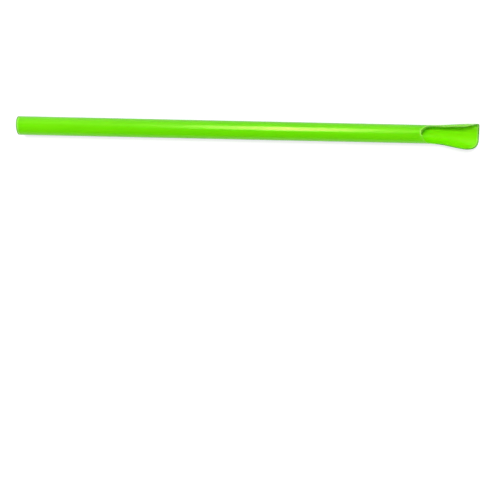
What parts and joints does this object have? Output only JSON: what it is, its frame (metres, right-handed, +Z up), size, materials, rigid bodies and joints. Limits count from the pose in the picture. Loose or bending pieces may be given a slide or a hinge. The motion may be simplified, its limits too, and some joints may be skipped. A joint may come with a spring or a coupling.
{
  "type": "drinking straw with a scoop end",
  "caption": "Slim plastic drinking straw: a plain open tube at one end, slit, flared and trimmed into a small scoop at the other, for sipping and spooning crushed ice or slush.",
  "frame": {"origin": "on the line of the straw's back, under the middle of its length", "axes": "+X along the straw towards the scoop's tip, +Z up out of the scoop's hollow, +Y to the left seen from the plain end"},
  "size_m": [0.2003, 0.0114, 0.008],
  "materials": {
    "straw_plastic": "glossy, slightly translucent lime green extruded plastic"
  },
  "bodies": {
    "root": {"spoon_straw": "straw_plastic"}
  },
  "joints": []
}
